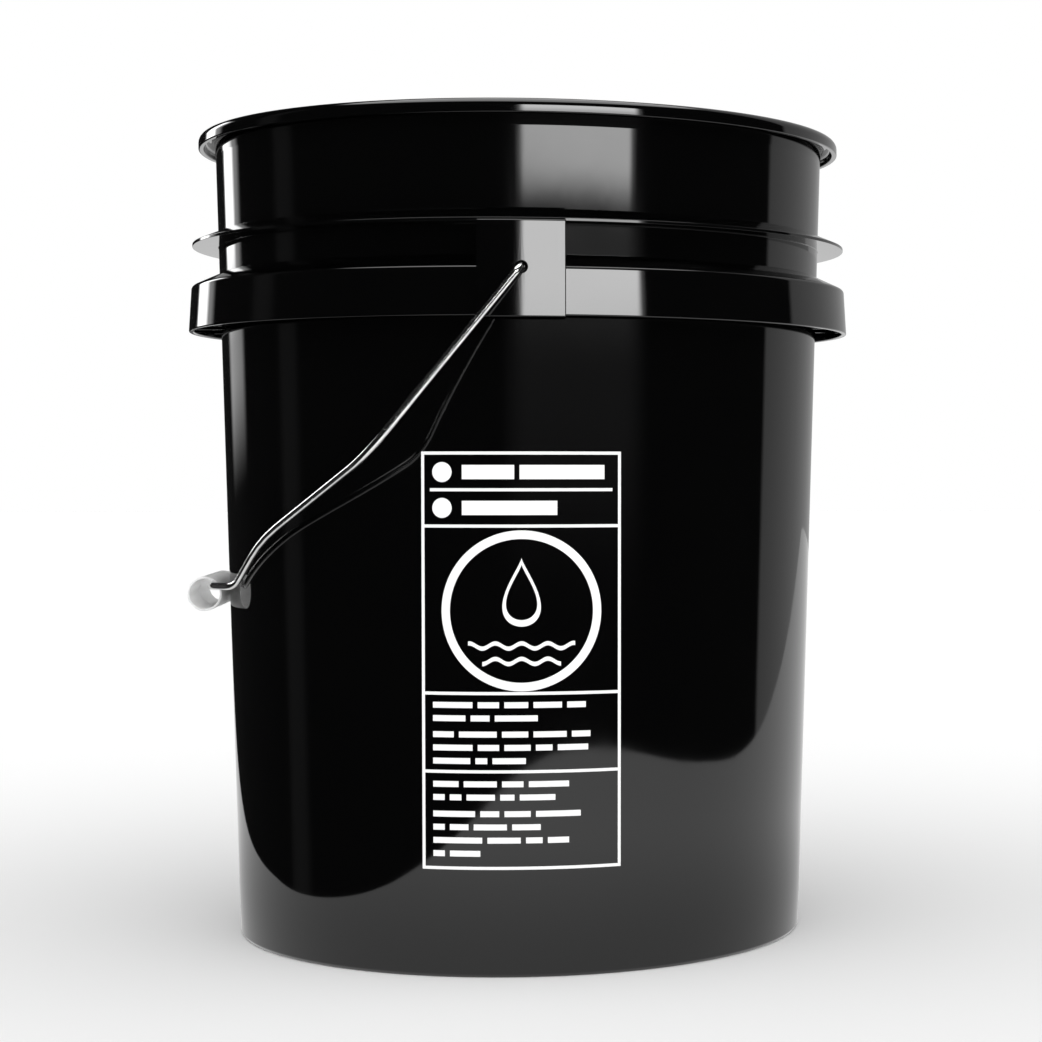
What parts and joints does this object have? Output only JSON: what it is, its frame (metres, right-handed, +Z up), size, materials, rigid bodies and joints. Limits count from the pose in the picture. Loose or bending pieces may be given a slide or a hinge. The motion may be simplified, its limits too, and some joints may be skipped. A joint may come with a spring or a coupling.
{
  "type": "wash bucket",
  "caption": "Round tapered plastic bucket with rim lip, flange and skirt, two hollow ears, a steel wire bail and a white tube grip.",
  "frame": {"origin": "on the bucket's axis, on the surface that the foot ring stands on", "axes": "+Z up, Y through both ears along the bail's pivot axis, -X the side on which the bail hangs, -Y the ear above the printed panel"},
  "size_m": [0.3074, 0.3268, 0.368],
  "materials": {
    "black_plastic": "high gloss moulded polyethylene",
    "steel_wire": "bright zinc-plated drawn wire",
    "white_plastic": "gloss moulded"
  },
  "bodies": {
    "bucket": {"bucket_body": "black_plastic"},
    "bail": {"bail_wire": "steel_wire"},
    "grip": {"grip": "white_plastic"}
  },
  "joints": [
    {"name": "bail_swing", "type": "hinge", "parent": "bucket", "child": "bail", "pos_m": [0, 0, 0.2977], "axis": [0, 1, 0], "range_deg": [0, 268]},
    {"name": "grip_spin", "type": "hinge", "parent": "bail", "child": "grip", "pos_m": [-0.1437, 0, 0.158], "axis": [0, 1, 0], "continuous": true}
  ]
}
